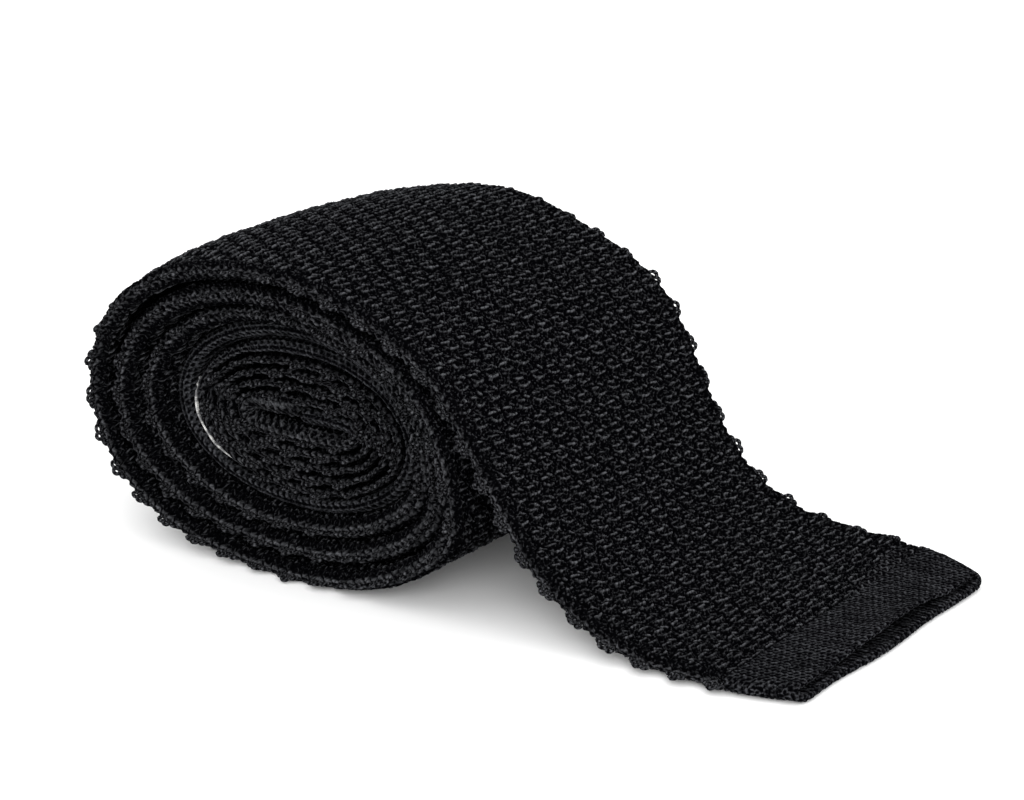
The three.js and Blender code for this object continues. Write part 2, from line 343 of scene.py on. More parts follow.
# One ring of the ribbed stretches takes four courses by two wales, with the next ring set half a
# repeat off.
RING_REPEAT = (4 * COURSE, 2 * WALE)
RING_PLACES = [(0, 0), (2 * COURSE, WALE)]
RING_LEGS = [
    # from along, from across, to along, to across, top, radius
    (0.08, -1.42, -0.34, -1.08, 0.85, 0.26),
    (-0.50, -0.80, -0.70, -0.20, 1.00, 0.28),
    (-0.74, 0.20, -0.62, 1.00, 0.95, 0.27),
    (0.72, -1.25, 0.54, -0.15, 0.98, 0.27),
    (1.10, 0.42, 0.62, 1.25, 1.00, 0.27),
    (-1.55, -0.35, -1.48, 0.15, 0.62, 0.22),
    (-1.52, 0.75, -1.46, 1.25, 0.66, 0.22),
    (0.05, 1.66, -0.22, 1.50, 0.72, 0.22),
    (0.10, -0.25, -0.05, 0.20, 0.60, 0.20),
    (1.42, -1.10, 1.36, -0.70, 0.74, 0.22),
    (-1.10, -1.10, -1.02, -0.75, 0.70, 0.22),
]

# Towards the far edge, from this far off the middle on, the rings begin up to this much later past
# the hem.
RINGS_LATE_FROM = 2
RINGS_LATE = 4

# Plain stitches: each is two legs that lean together, like a V lying along the tie.
EDGE_REPEAT = (COURSE, WALE)
EDGE_LEGS = [
    (-0.60, -0.82, 0.44, -0.32, 1.0, 0.46),
    (-0.60, 0.82, 0.44, 0.32, 1.0, 0.46),
]
PLAIN_REPEAT = (1.15, 1.92)
PLAIN_LEGS = [
    (-0.42, -0.72, 0.38, -0.32, 1.0, 0.34),
    (-0.42, 0.72, 0.38, 0.32, 0.85, 0.34),
]
NECK_REPEAT = (1.28, 1.95)
NECK_LEGS = [
    (-0.50, -0.78, 0.42, -0.34, 1.0, 0.40),
    (-0.50, 0.78, 0.42, 0.34, 1.0, 0.40),
]
SINGLE_PLACE = [(0, 0)]

# The heights of the tallest yarn, of the dome under each ring, and of the lowest leg of yarn and the
# scatter above it as shares of a leg's own height.
RING_TOP = 0.56
RING_DOME = 0.26
EDGE_TOP = 0.62
PLAIN_TOP = 0.3
NECK_TOP = 0.46
LOWEST_LEG = 0.78
LEG_SCATTER = 0.3

# How the rings wander along the tie and across it, as a slow wander and its size, then a quick one and
# its size; and how far plain stitches wander.
RING_WANDER_ALONG = (0.25, 5, 0.16, 1.3)
RING_WANDER_ACROSS = (0.25, 6, 0.14, 1.1)
PLAIN_WANDER = 0.12
NECK_WANDER = 0.15
PLAIN_WANDER_SIZE = 4

# The band of plain stitches round each edge, as a distance from the edge's middle, its tone, which is
# dimmed with painted shade, and how much more painted shade darkens it where it has turned away into a
# gap, which is between these two distances.
EDGE_BAND = 2.9
EDGE_PAINTED_SHADE_TONE = 0.82
GAP_PAINTED_SHADE = 0.3
GAP_FROM = 0.9
GAP_TO = 1.4
PLAIN_TONE = 0.85

# How far sideways the half ellipse of an edge reaches, and the half width of a face before it.
EDGE_REACH = 2.2
HALF_FACE = 30 - EDGE_REACH

# How far the cloth's edge stands inside the solid's: the blade's, so that its loops reach past the
# solid a little, and the neck band's and the tail's.
EDGE_INSET = 0.4
CORE_INSET = 0.6

# Each repeat's loops of yarn on the edge: place along it, place outwards, radius along, radius
# outwards. Then the yarn's radius, the points round a loop and round its yarn, the smallest size and
# the scatter above it, the most that a loop leans for each millimetre outwards, the place of the first
# one on the blade, and how far into the tail they begin.
EDGE_LOOPS = [
    (-0.75, 0.34, 0.52, 0.60),
    (0.30, 0.62, 0.56, 0.64),
    (1.30, -0.14, 0.50, 0.52),
]
LOOP_YARN = 0.32
LOOP_STEPS = 10
LOOP_SIDES = 5
SMALLEST_LOOP = 0.85
LOOP_SCATTER = 0.3
LOOP_LEAN = 0.25
FIRST_LOOP = 12.98
TAIL_LOOPS_AFTER = 33

# The hump under each repeat's loops, and the notches that the loops' holes are seen through: place
# along the edge, depth, half length.
HUMP_HEIGHT = 0.4
HUMP_REACH = 1.4
EDGE_NOTCHES = [(-0.75, 0.62, 0.34), (0.30, 0.42, 0.36)]
SCALLOP = 0.18

# The hem's mouth, which is open between two closed corners. The lower ply is thicker, and the upper
# lip stands back from the lower one, most of all near the closed corner of the near side, where the
# last pair of values gives the shares of the half width between which it does.
HEM_INSET = 0.2
LOWER_PLY = 1.5
UPPER_LIP_BACK = 1.3
LIP_OUT = 0.35
NEAR_LIP_BACK = 0.8
NEAR_LIP_SHARES = (0.3, 0.9)
MOUTH_MIDDLE = 1
MOUTH_REACH = 17
MOUTH_OPENING = 1.7
MOUTH_ROUNDNESS = 0.8
MOUTH_DEEPENING = 1.5
CLOSED_OPENING = 0.08
LIP_WAVE = 0.22
LIP_WAVE_LENGTH = 27
LIP_WAVE_CREST = -2.5
HALF_MOUTH = 27.5

# Spacing of the points where they are far apart: between the columns, and in rows to a row.
WIDE_STEP = 3
COARSE_ROWS = 4

# How close the points of a section are: spacing across a face, columns round an edge, and the widths
# at the near and the far edge of the outer face and of the inner one that are spaced like that.
WHOLE_FACE = (30, 30)
HEM_SECTION = (0.3, 12, WHOLE_FACE, WHOLE_FACE)
ROUND_SECTION = (0.36, 16, WHOLE_FACE, (6, 2))
WOUND_SECTION = (0.36, 18, (6, 2), (7, 3))
CORE_SECTION = (0.36, 12, (4, 2), (6, 2))
CORE_ROW_STEP = 0.42
CORE_SWELL = (0.1, 0.4)

# The hem's rows: on the outside, round the lip and inside.
HEM_ROWS = (52, 7, 22)

# The label's rows, columns and columns round an edge, and how its edges waver: height and size.
LABEL_GRID = (60, 30, 6)
LABEL_WAVER = 0.2
LABEL_WAVER_SIZE = 4

# The part of the thickness by which a stretch's flat end folds in to the middle line.
END_FOLD = 0.9


def scatter(a, b):
    """A fixed scatter of values from 0 to 1 over whole numbers a and b: the fraction of a large sine."""
    value = np.sin(a * 12.9898 + b * 78.233) * 43758.5453
    return value - np.floor(value)


def wander(along, across, size):
    """A slow, even wander of the stitches: a sum of four sines that never line up."""
    a, b = along / size, across / size
    return (np.sin(1.7 * a + 0.9 * b + 1.3) + np.sin(0.8 * a - 1.6 * b + 4.1)
            + np.sin(-2.3 * a + 0.5 * b + 2.2) + np.sin(0.6 * a + 2.4 * b + 0.4)) / 4


def edge_spread(along, side):
    """How far the near edge, where side is below 0, or the far one spreads past the solid's."""
    return np.where(side < 0, look_up(EDGE_SPREAD, along), look_up(EDGE_SPREAD, along, 2))


def edge_lift(along, share):
    """How far the cloth curls up towards its far edge."""
    return look_up(EDGE_SPREAD, along, 3) * smoothstep(share, LIFT_FROM, 1)


def edge_slip(along):
    """How far the whole width slips sideways: towards the near side, and stitch by stitch."""
    waver = sum(height * wander(along, 0 * along, size) for height, size in EDGE_WAVERS)
    return waver - look_up(EDGE_SPREAD, along, 4)


def fullness(along, share):
    """How much fuller than the solid the outer turn is: the fullness along it by its share across."""
    return look_up(FULLNESS, along) * look_up(FULL_ACROSS, share)


def edge_bumps(along):
    """How the ribbed edge's outline runs.

    Each stitch has a scallop, which is a cosine, and each repeat a hump with notches, all bell curves.
    """
    beside = along - FIRST_LOOP
    beside = beside - RING_REPEAT[0] * np.round(beside / RING_REPEAT[0])
    bumps = HUMP_HEIGHT * np.exp(-(beside / HUMP_REACH) ** 2)
    for place, deep, reach in EDGE_NOTCHES:
        bumps = bumps - deep * np.exp(-((beside - place) / reach) ** 2)
    return bumps + SCALLOP * (np.cos(2 * math.pi * (along - FIRST_LOOP) / COURSE) - 1)


def leg_height(along, across, legs, repeat, places):
    """The height of a repeat of yarn legs over a grid of points, from 0 to about 1.

    Each leg is a capsule: its height is the top times the root of 1 - (d/r)^2, with d the distance
    to the leg's line. Each leg of each repeat is a little higher or lower, and where legs cross the
    higher one shows.
    """
    height = np.zeros(np.broadcast(along, across).shape)
    for place_along, place_across in places:
        cell_along = np.floor((along - place_along) / repeat[0] + 0.5)
        cell_across = np.floor((across - place_across) / repeat[1] + 0.5)
        for number, (a0, b0, a1, b1, top, radius) in enumerate(legs):
            middle_a, middle_b = (a0 + a1) / 2 + place_along, (b0 + b1) / 2 + place_across
            da = along - middle_a
            db = across - middle_b
            da = da - repeat[0] * np.round(da / repeat[0])
            db = db - repeat[1] * np.round(db / repeat[1])
            length = math.hypot(a1 - a0, b1 - b0)
            ua, ub = (a1 - a0) / length, (b1 - b0) / length
            reach = np.clip(da * ua + db * ub, -length / 2, length / 2)
            gap = ((da - reach * ua) ** 2 + (db - reach * ub) ** 2) / radius ** 2
            ridge = top * np.sqrt(np.clip(1 - gap, 0, 1))
            ridge *= LOWEST_LEG + LEG_SCATTER * scatter(cell_along + number, cell_across + place_along)
            np.maximum(height, ridge, out=height)
    return height


def wandered(place, other, slow, slow_size, quick, quick_size):
    """A place moved by a slow wander and a quick one."""
    return place + slow * wander(place, other, slow_size) + quick * wander(other, place, quick_size)


def ribbed_relief(along, across, rim):
    """The ribbed knit's height in millimetres and its tone from 0 to about 1.

    It has rings of yarn on its faces and plain stitches in a band round each edge. Just past the hem
    plain stitches go on for a little, further towards the far edge.
    """
    shifted_along = wandered(along, across, *RING_WANDER_ALONG)
    shifted_across = wandered(across, along, *RING_WANDER_ACROSS)
    rings = leg_height(shifted_along, shifted_across, RING_LEGS, RING_REPEAT, RING_PLACES)
    edge = leg_height(shifted_along, rim, EDGE_LEGS, EDGE_REPEAT, SINGLE_PLACE)
    # Each ring stands on a low dome of cloth: a product of two cosines that peaks at every ring.
    dome_along, dome_across = math.pi * shifted_along / (2 * COURSE), math.pi * shifted_across / WALE
    dome = (1 + np.cos(dome_along) * np.cos(dome_across)) / 2
    on_edge = np.abs(rim) < EDGE_BAND
    height = np.where(on_edge, edge * EDGE_TOP, rings * RING_TOP + dome * RING_DOME)
    begun = along > HEM_LENGTH + RINGS_LATE * smoothstep(shifted_across, RINGS_LATE_FROM, HALF_FACE)
    plain = leg_height(shifted_along, across, PLAIN_LEGS, PLAIN_REPEAT, SINGLE_PLACE)
    rings = np.where(begun, rings, PLAIN_TONE * plain)
    height = np.where(begun, height, plain * PLAIN_TOP + EDGE_TOP - PLAIN_TOP)
    # Beside the edge's own column of stitches the cloth turns away into the gap between two turns, and
    # painted shade darkens it there, but not inside the last turn, which has none. The whole edge band is
    # dimmed by painted shade as well.
    gap = np.where((rim > 0) | (along < PATH.length - SLOT_LENGTH), 1, 0)
    turned = edge * (EDGE_PAINTED_SHADE_TONE - GAP_PAINTED_SHADE * gap * smoothstep(np.abs(rim), GAP_FROM, GAP_TO))
    return height, np.where(on_edge, turned, rings)


def plain_relief(along, across, rim):
    """The hem's fine plain stitches all round."""
    shifted = along + PLAIN_WANDER * wander(along, across, PLAIN_WANDER_SIZE)
    tone = leg_height(shifted, across, PLAIN_LEGS, PLAIN_REPEAT, SINGLE_PLACE)
    return tone * PLAIN_TOP, tone


def neck_relief(along, across, rim):
    """The neck band's and the narrow end's plain stitches, larger than the hem's."""
    shifted = along + NECK_WANDER * wander(along, across, PLAIN_WANDER_SIZE)
    tone = leg_height(shifted, rim, NECK_LEGS, NECK_REPEAT, SINGLE_PLACE)
    return tone * NECK_TOP, tone


def face_columns(step, wide_step, near_band, far_band):
    """Shares across one face, closely spaced in a band along each edge and wide apart between them."""
    near, far = near_band / HALF_FACE - 1, 1 - far_band / HALF_FACE
    if near >= far:
        return np.linspace(-1, 1, round(2 * HALF_FACE / step) + 1)
    return np.concatenate([
        np.linspace(-1, near, round(near_band / step) + 1)[:-1],
        np.linspace(near, far, round((far - near) * HALF_FACE / wide_step) + 1),
        np.linspace(far, 1, round(far_band / step) + 1)[1:]])


def round_section(outer, inner, edge_count):
    """Shares and angles round a section: over the outer face, the far edge, the inner face and back."""
    turn = np.linspace(90, -90, edge_count + 1)[1:-1]
    share = np.concatenate([outer, np.full(len(turn), 1.0), inner, np.full(len(turn), -1.0)])
    angle = np.concatenate([np.full(len(outer), 90.0), turn, np.full(len(inner), -90.0), turn[::-1]])
    return share, angle


def section_columns(step, edge_count, outer_bands, inner_bands):
    """The columns round one section of the cloth.

    They run over the outer face from the near edge, round the far edge and back over the inner
    face. Each has its share of the half face, from -1 to 1, its angle round the edge, from -90 on
    the inner face to 90 on the outer face, and whether it is closely spaced. A face's bands are the
    widths at the near and the far edge that are closely spaced.
    """
    outer = face_columns(step, WIDE_STEP, *outer_bands)
    inner = face_columns(step, WIDE_STEP, *inner_bands)[::-1]
    share, angle = round_section(outer, inner, edge_count)
    close = np.full(len(share), True)
    for face, (near_band, far_band) in ((90, outer_bands), (-90, inner_bands)):
        between = (share > near_band / HALF_FACE - 1 + 1e-6) & (share < 1 - far_band / HALF_FACE - 1e-6)
        close &= ~((angle == face) & between)
    return share, np.radians(angle), close


def way_round(share, angle, half, half_thick):
    """The way round a section from the middle of its edge to a point, and from there to its middle.

    The half ellipse of an edge is measured as a circle of the mean radius.
    """
    rounding = (EDGE_REACH + half_thick) / 2
    quarter = rounding * math.pi / 2
    rim = np.where(np.abs(share) < 1, quarter + half * (1 - np.abs(share)), rounding * np.abs(angle))
    return rim, half + quarter


def cloth_map(along, around):
    """Places on the cloth's map from places along the tie and round it."""
    return np.stack(np.broadcast_arrays(along, around), axis=-1) / MAP_UNIT


def cell_triangles(a, b, c, d):
    """Two triangles for each cell of a grid, from arrays of its corners in turn."""
    return np.concatenate([np.stack(three, axis=-1).reshape(-1, 3) for three in ((a, b, c), (a, c, d))])


def cloth_points(along, columns, relief, inset, swell):
    """Points of the tie's surface in metres, with each one's relief tone and place on the flat map.

    A section is two flat faces joined by half-ellipse edges. A point stands off it along the
    section's normal by the relief's height, less the height of the tallest yarn, so that the
    tallest yarn lies on the solid's surface. Where the turns lie loosely on each other the cloth
    swells past it, by its own amount outwards and inwards, and its edges fill what is still free.
    """
    share, angle, _ = (values[None, :] for values in columns)
    x, z, normal_x, normal_z, thickness, width = (values[:, None] for values in PATH.at(along))
    outside, inside = (values[:, None] for values in PATH.free_at(along))
    along = along[:, None]
    half = width / 2 - inset - EDGE_REACH + edge_spread(along, share)
    # Only the blade has humps under its loops.
    if inset == EDGE_INSET:
        half = half + edge_bumps(along)
    filling = np.where(angle > 0, outside, inside) * smoothstep(np.abs(share), FILLING_FROM, 1)
    half_thick = thickness / 2 + filling
    side = np.sign(share)
    rim, reach = way_round(share, angle, half, half_thick)
    rim = rim * np.where(angle > 0, 1, -1)
    around = side * (reach - rim)
    height, tone = relief(along, share * HALF_FACE, rim)
    outwards, inwards = swell
    stand = height - height.max() + inwards + (outwards - inwards) * (1 + np.sin(angle)) / 2
    normal_y, normal_n = side * np.cos(angle) / EDGE_REACH, np.sin(angle) / half_thick
    size = np.sqrt(normal_y ** 2 + normal_n ** 2)
    y = share * half + side * EDGE_REACH * np.cos(angle) + stand * normal_y / size
    y = y + edge_slip(along)
    n = (half_thick * np.sin(angle) + stand * normal_n / size + fullness(along, share)
         + edge_lift(along, share))
    points = np.stack([x + normal_x * n, y, np.maximum(z + normal_z * n, 0)], axis=-1)
    return points * MM, tone, cloth_map(along, around)


def band_faces(rows, close):
    """Triangles of a closed band, as row and column pairs.

    Closely spaced columns use every row and the others one in COARSE_ROWS, which is four. Where the
    two meet a fan of five triangles takes four short rows to one long one.
    """
    left = np.arange(len(close))
    right = (left + 1) % len(close)
    both = close[left] & close[right]
    none = ~close[left] & ~close[right]
    coarse = np.arange(0, rows - 1, COARSE_ROWS)
    parts = []
    for chosen, first, step in ((both, np.arange(rows - 1), 1), (none, coarse, COARSE_ROWS)):
        a = np.stack(np.broadcast_arrays(first[:, None], left[chosen][None, :]), -1)
        b = np.stack(np.broadcast_arrays(first[:, None], right[chosen][None, :]), -1)
        up = np.array([step, 0])
        parts.append(np.stack([a, b, b + up], axis=-2).reshape(-1, 3, 2))
        parts.append(np.stack([a, b + up, a + up], axis=-2).reshape(-1, 3, 2))
    for first, second in zip(left[~both & ~none], right[~both & ~none]):
        f, c = (first, second) if close[first] else (second, first)
        fan = np.array([((0, f), (0, c), (1, f)), ((1, f), (0, c), (2, f)), ((0, c), (4, c), (2, f)),
                        ((2, f), (4, c), (3, f)), ((3, f), (4, c), (4, f))])
        fan = (fan[None] + np.array([1, 0]) * coarse[:, None, None, None]).reshape(-1, 3, 2)
        parts.append(fan if f == first else fan[:, ::-1])
    return np.concatenate(parts)


def add_object(name, data):
    """An object of the scene, with its mesh, lamp or camera."""
    item = bpy.data.objects.new(name, data)
    bpy.context.scene.collection.objects.link(item)
    return item


def add_mesh(name, points, triangles, tone, flat_map, material, rims=()):
    """A mesh object at the origin, from points in metres, triangles, and each point's tone and map place.

    The edges between two points of rims are shaded sharp.
    """
    mesh = bpy.data.meshes.new(name)
    mesh.vertices.add(len(points))
    mesh.vertices.foreach_set("co", np.ascontiguousarray(points, np.float32).ravel())
    mesh.loops.add(3 * len(triangles))
    mesh.loops.foreach_set("vertex_index", np.ascontiguousarray(triangles, np.int32).ravel())
    mesh.polygons.add(len(triangles))
    mesh.polygons.foreach_set("loop_start", np.arange(0, 3 * len(triangles), 3, dtype=np.int32))
    mesh.update(calc_edges=True)
    mesh.polygons.foreach_set("use_smooth", np.ones(len(triangles), bool))
    # For the silk knit this tone sets where painted shade and painted highlights go.
    layer = mesh.attributes.new("relief", "FLOAT", "POINT")
    layer.data.foreach_set("value", np.ascontiguousarray(tone, np.float32).ravel())
    corners = mesh.uv_layers.new(name="cloth")
    corners.data.foreach_set("uv", np.ascontiguousarray(flat_map[triangles.ravel()], np.float32).ravel())
    if len(rims):
        edges = np.zeros(2 * len(mesh.edges), np.int32)
        mesh.edges.foreach_get("vertices", edges)
        on_rim = np.isin(edges.reshape(-1, 2), rims).all(axis=1)
        mesh.attributes.new("sharp_edge", "BOOLEAN", "EDGE").data.foreach_set("value", on_rim)
    mesh.materials.append(material)
    piece = add_object(name, mesh)
    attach(piece, "root")
    return piece


def add_band(name, start, end, row_step, columns, relief, inset, swell, material):
    """One stretch of the tie as a closed band of cloth with flat ends."""
    close = columns[2]
    rows = COARSE_ROWS * max(round((end - start) / row_step / COARSE_ROWS), 1) + 1
    points, tone, flat_map = cloth_points(np.linspace(start, end, rows), columns, relief, inset, swell)
    used = close[None, :] | (np.arange(rows) % COARSE_ROWS == 0)[:, None]
    number = np.cumsum(used.ravel()).reshape(used.shape) - 1
    faces = band_faces(rows, close)
    triangles = number[faces[..., 0], faces[..., 1]]
    points, tone, flat_map = points[used], tone[used], flat_map[used]
    rings = number[[0, -1]]
    for ring, place, turned in ((rings[0], start, -1), (rings[1], end, 1)):
        # The end folds in to a narrow ring on the middle line, which a fan closes.
        x, z, normal_x, normal_z, _, _ = (float(value[0]) for value in PATH.at(np.array([place])))
        middle, normal = np.array([x, 0, z]) * MM, np.array([normal_x, 0, normal_z])
        off = (points[ring] - middle) @ normal
        narrow = points[ring] - END_FOLD * off[:, None] * normal
        inner = len(points) + np.arange(len(ring))
        centre = len(points) + len(ring)
        points = np.concatenate([points, narrow, middle[None]])
        flat_map = np.concatenate([flat_map, flat_map[ring], flat_map[ring].mean(axis=0)[None]])
        tone = np.concatenate([tone, 0 * tone[ring], [0]])
        after, inner_after = np.roll(ring, -1), np.roll(inner, -1)
        cap = np.concatenate([
            np.stack([ring, after, inner_after], axis=-1), np.stack([ring, inner_after, inner], axis=-1),
            np.stack([inner, inner_after, np.full(len(ring), centre)], axis=-1)])
        triangles = np.concatenate([triangles, cap[:, ::turned]])
    return add_mesh(name, points, triangles, tone, flat_map, material, rings.ravel())


def stand_for(piece, node):
    """Hides the solid that a piece of cloth replaces."""
    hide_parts(node)


def linear(hex_colour):
    """An sRGB hex colour such as 1b1c21 as linear red, green, blue and alpha."""
    parts = [int(hex_colour[i:i + 2], 16) / 255 for i in (0, 2, 4)]
    return tuple(p / 12.92 if p <= 0.04045 else ((p + 0.055) / 1.055) ** 2.4 for p in parts) + (1.0,)


def add_node(tree, kind, inputs=None, **settings):
    """One shader node with its settings, and its inputs set to values or linked from sockets."""
    node = tree.nodes.new(kind)
    for name, value in settings.items():
        setattr(node, name, value)
    for name, value in (inputs or {}).items():
        if isinstance(value, bpy.types.NodeSocket):
            tree.links.new(value, node.inputs[name])
        else:
            node.inputs[name].default_value = value
    return node


def cloth_material(name):
    """An empty material, its node tree and the socket of the cloth's own map."""
    material = bpy.data.materials.new(name)
    material.use_nodes = True
    material.node_tree.nodes.clear()
    uv = add_node(material.node_tree, "ShaderNodeUVMap", uv_map="cloth").outputs["UV"]
    return material, material.node_tree, uv


def end_material(tree, height, strength, depth, inputs):
    """Ends a material in a principled shader over a bump whose depth is in metres."""
    bump = add_node(tree, "ShaderNodeBump", {"Height": height, "Strength": strength, "Distance": depth})
    shader = add_node(tree, "ShaderNodeBsdfPrincipled", {**inputs, "Normal": bump.outputs[0]})
    add_node(tree, "ShaderNodeOutputMaterial", {"Surface": shader.outputs[0]})


def silk_knit(name, hollow, yarn, painted_highlight, roughness):
    """Silk yarn, twisted from two plies and knitted.

    It is near black, and darker still between the stitches with painted shade. Each leg of yarn has
    short bright streaks of painted highlight, where its filaments lie in line and catch the light.
    """
    material, tree, uv = cloth_material(name)
    relief = add_node(tree, "ShaderNodeAttribute", attribute_name="relief").outputs["Fac"]
    # The low parts of the relief take the hollow colour, which is painted shade between the stitches.
    depth = add_node(tree, "ShaderNodeMapRange", {"Value": relief, "From Min": 0.0, "From Max": 0.7},
                     interpolation_type="SMOOTHSTEP").outputs[0]
    crest = add_node(tree, "ShaderNodeMapRange", {
        "Value": relief, "From Min": 0.5, "From Max": 1.0}).outputs[0]
    # The plies break the painted highlight on the yarn's crest into streaks about 0.4 mm long, and show
    # as dim painted glints between the crests.
    plies = add_node(tree, "ShaderNodeTexNoise", {
        "Vector": uv, "Scale": MAP_UNIT / PAINTED_HIGHLIGHT_LENGTH, "Detail": 1.0}).outputs[0]
    broken = add_node(tree, "ShaderNodeMapRange", {
        "Value": plies, "From Min": 0.4, "From Max": 0.64, "To Min": 0.3, "To Max": 1.3}).outputs[0]
    strewn = add_node(tree, "ShaderNodeMapRange", {
        "Value": plies, "From Min": 0.55, "From Max": 0.74, "To Min": 0.0, "To Max": 0.32}).outputs[0]
    shown = add_node(tree, "ShaderNodeMath", {0: crest, 1: broken}, operation="MULTIPLY").outputs[0]
    lit = add_node(tree, "ShaderNodeMath", {0: shown, 1: strewn}, operation="MAXIMUM").outputs[0]
    body = add_node(tree, "ShaderNodeMix", {0: depth, 6: hollow, 7: yarn}, data_type="RGBA")
    colour = add_node(tree, "ShaderNodeMix", {0: lit, 6: body.outputs[2], 7: painted_highlight}, data_type="RGBA")
    # The shader reflects no light of its own: all the shine on the yarn is the painted highlight.
    end_material(tree, plies, 0.5, 0.1 * MM, {
        "Base Color": colour.outputs[2], "Roughness": roughness, "IOR": 1.54, "Specular IOR Level": 0.0})
    return material


def woven_satin(name, satin, shade):
    """Polyester satin, woven with long floats of bright thread side by side, so it is smooth and shiny.

    It is darkened with painted shade in blotches of 2 to 4 mm.
    The edge is a little frayed and soiled, in patches of 2 to 4 mm.
    """
    material, tree, uv = cloth_material(name)
    # The wave texture's bands are pi / 10 apart at scale 1.
    floats = add_node(tree, "ShaderNodeTexWave", {
        "Vector": uv, "Scale": math.pi / 10 * MAP_UNIT / THREAD_SPACING, "Distortion": 1.2,
        "Detail": 1.0}).outputs[1]
    # A noise marks blotches of painted shade on the satin, in the shade colour.
    shade_patches = add_node(tree, "ShaderNodeTexNoise", {
        "Vector": uv, "Scale": MAP_UNIT / SHADE_PATCH_SIZE, "Detail": 3.0}).outputs[0]
    unshaded = add_node(tree, "ShaderNodeMapRange", {
        "Value": shade_patches, "From Min": 0.46, "From Max": 0.6}).outputs[0]
    bright = add_node(tree, "ShaderNodeMapRange", {
        "Value": floats, "To Min": 0.6, "To Max": 1.0}).outputs[0]
    share = add_node(tree, "ShaderNodeMath", {0: unshaded, 1: bright}, operation="MULTIPLY").outputs[0]
    colour = add_node(tree, "ShaderNodeMix", {0: share, 6: shade, 7: satin}, data_type="RGBA")
    end_material(tree, floats, 0.4, 0.05 * MM, {
        "Base Color": colour.outputs[2], "Roughness": 0.4, "IOR": 1.54})
    return material


def add_hem(material):
    """The wide end's hem: the tube's two plies, closed at the sides and open at the end.

    Its profile runs along the outside to the lip, round the lip in a half circle and back inside.
    The upper lip stands back from the lower one, the end line is a slow wave, and the mouth's
    opening is a parabola across it that fades to nothing at the hem's other end.
    """
    share, angle, _ = (values[None, :] for values in section_columns(*HEM_SECTION))
    count_outside, count_lip, count_inside = HEM_ROWS
    outside = np.linspace(HEM_LENGTH, 0, count_outside)
    lip = np.linspace(0, math.pi, count_lip + 2)
    inside = np.linspace(0, HEM_LENGTH, count_inside)
    run = np.concatenate([outside, np.zeros(count_lip), inside])[:, None]
    way = np.concatenate([np.zeros(count_outside), lip[1:-1], np.full(count_inside, math.pi)])[:, None]
    depth = (1 - np.cos(way)) / 2
    lower = (1 - np.sin(angle)) / 2
    side = np.sign(share)
    lip_ply = PLY + (LOWER_PLY - PLY) * lower
    place = share * HALF_MOUTH
    wave = LIP_WAVE * (1 - np.cos(2 * math.pi * (place - LIP_WAVE_CREST) / LIP_WAVE_LENGTH))
    near_back = NEAR_LIP_BACK * smoothstep(-share, *NEAR_LIP_SHARES)
    back = UPPER_LIP_BACK * (1 - lower) + lip_ply / 2 + wave - LIP_OUT + near_back
    travel = np.where(way > 0, -way * lip_ply / 2, 0) + np.where(way == math.pi, -run, run)
    along = back + run * (1 - back / HEM_LENGTH) - np.sin(way) * lip_ply / 2
    half = look_up(WIDTHS, along) / 2 - HEM_INSET + edge_spread(along, share)
    closeness = np.clip(1 - along / HEM_LENGTH, 0, 1)
    ply = PLY + (lip_ply - PLY) * closeness
    bow = np.maximum(1 - ((place - MOUTH_MIDDLE) / MOUTH_REACH) ** 2, 0)
    opening = bow ** MOUTH_ROUNDNESS * MOUTH_OPENING
    rested = FREE_THICKNESS + (MOUTH_THICKNESS - FREE_THICKNESS) * (1 - HEM_LENGTH / MOUTH_FADE) ** 2
    closed = rested + closeness * (PLY + LOWER_PLY + CLOSED_OPENING - rested)
    thick = closed + closeness ** MOUTH_DEEPENING * opening
    lower_ply = PLY + (LOWER_PLY - PLY) * closeness
    hollow = np.maximum(thick - PLY - lower_ply, CLOSED_OPENING)
    rim, reach = way_round(share, angle, half, thick / 2)
    around = side * (reach - rim)
    height, tone = plain_relief(travel, around, rim)
    stand = height - PLAIN_TOP
    normal_stand = stand * np.cos(way)
    y = share * (half - EDGE_REACH) + side * (EDGE_REACH - depth * ply + normal_stand) * np.cos(angle)
    outer_z = thick / 2 * (1 + np.sin(angle))
    inner_z = lower_ply + hollow / 2 * (1 + np.sin(angle))
    z = outer_z + (inner_z - outer_z) * depth + normal_stand * np.sin(angle) + edge_lift(along, share)
    x = END_X + PATH.shift - along + stand * np.sin(way)
    points = np.stack([x, y, np.maximum(z, 0)], axis=-1) * MM
    flat_map = cloth_map(travel, around).reshape(-1, 2)
    number = np.arange(tone.size).reshape(tone.shape)
    a, b = number, np.roll(number, -1, axis=1)
    c, d = np.roll(b, -1, axis=0), np.roll(a, -1, axis=0)
    triangles = cell_triangles(a, d, c, b)
    return add_mesh("hem_knit", points.reshape(-1, 3), triangles, tone.ravel(), flat_map, material)


